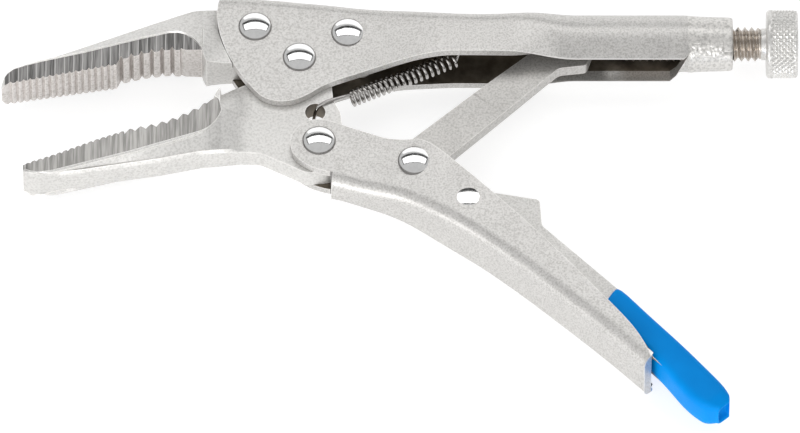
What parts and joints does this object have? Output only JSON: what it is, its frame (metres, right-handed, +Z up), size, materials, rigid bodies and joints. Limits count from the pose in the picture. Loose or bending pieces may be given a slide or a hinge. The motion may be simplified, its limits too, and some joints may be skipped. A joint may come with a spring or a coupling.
{
  "type": "locking pliers",
  "caption": "Long-nose locking pliers with toothed jaws, toggle link, adjusting screw with knurled knob, tension spring and dipped release lever.",
  "frame": {"origin": "under the middle of the tool's outline, in the plane that the pliers lie on", "axes": "+X along the adjusting screw towards its knob, +Y towards the fixed handle's back, +Z up along the axis of every pivot"},
  "size_m": [0.1648, 0.1018, 0.0142],
  "materials": {
    "handle_steel": "satin nickel plate over blasted pressed steel",
    "jaw_steel": "satin nickel plate over forged steel, ground grey at the teeth",
    "link_steel": "satin plated flat steel",
    "rivet_steel": "polished",
    "lever_steel": "satin plated pressed steel",
    "vinyl": "glossy dipped vinyl",
    "spring_steel": "bright drawn wire",
    "screw_steel": "plated, thread and knurl"
  },
  "bodies": {
    "fixed_side": {"fixed_handle": "handle_steel", "upper_jaw": "jaw_steel", "upper_jaw_rivet_front": "rivet_steel", "upper_jaw_rivet_rear": "rivet_steel", "jaw_pivot_rivet": "rivet_steel", "tension_spring": "spring_steel"},
    "jaw": {"lower_jaw": "jaw_steel"},
    "movable_side": {"movable_handle": "handle_steel", "handle_pivot_rivet": "rivet_steel", "toggle_pivot_rivet": "rivet_steel", "release_lever_rivet": "rivet_steel"},
    "link": {"toggle_link": "link_steel"},
    "lever": {"release_lever": "lever_steel", "release_lever_grip": "vinyl"},
    "screw_slide": {"screw_tip": "screw_steel"},
    "screw": {"adjusting_screw": "screw_steel", "screw_knob": "screw_steel"}
  },
  "joints": [
    {"name": "jaw_pivot", "type": "hinge", "parent": "fixed_side", "child": "jaw", "pos_m": [-0.0208, 0.03494, 0.0071], "axis": [0, 0, 1], "range_deg": [-18.5, 0], "deforming": ["tension_spring"]},
    {"name": "handle_pivot", "type": "hinge", "parent": "jaw", "child": "movable_side", "pos_m": [-0.0167, 0.01434, 0.0071], "axis": [0, 0, 1], "range_deg": [0, 55]},
    {"name": "toggle_pivot", "type": "hinge", "parent": "movable_side", "child": "link", "pos_m": [0.003, 0.00834, 0.0071], "axis": [0, 0, 1], "range_deg": [-54, 0]},
    {"name": "release_lever_pivot", "type": "hinge", "parent": "movable_side", "child": "lever", "pos_m": [0.0142, -0.00116, 0.0071], "axis": [0, 0, 1], "range_deg": [-1.3, 0]},
    {"name": "screw_advance", "type": "slide", "parent": "fixed_side", "child": "screw_slide", "axis": [1, 0, 0], "range_m": [0, 0.0084]},
    {"name": "knob_turn", "type": "hinge", "parent": "screw_slide", "child": "screw", "pos_m": [0.0758, 0.04094, 0.0071], "axis": [1, 0, 0], "range_deg": [0, 2160]}
  ],
  "couplings": [
    {"joint": "handle_pivot", "follows": "jaw_pivot", "ratio": -2.973},
    {"joint": "toggle_pivot", "follows": "jaw_pivot", "ratio": 2.9189},
    {"joint": "knob_turn", "follows": "screw_advance", "rad_per_m": 4488}
  ]
}
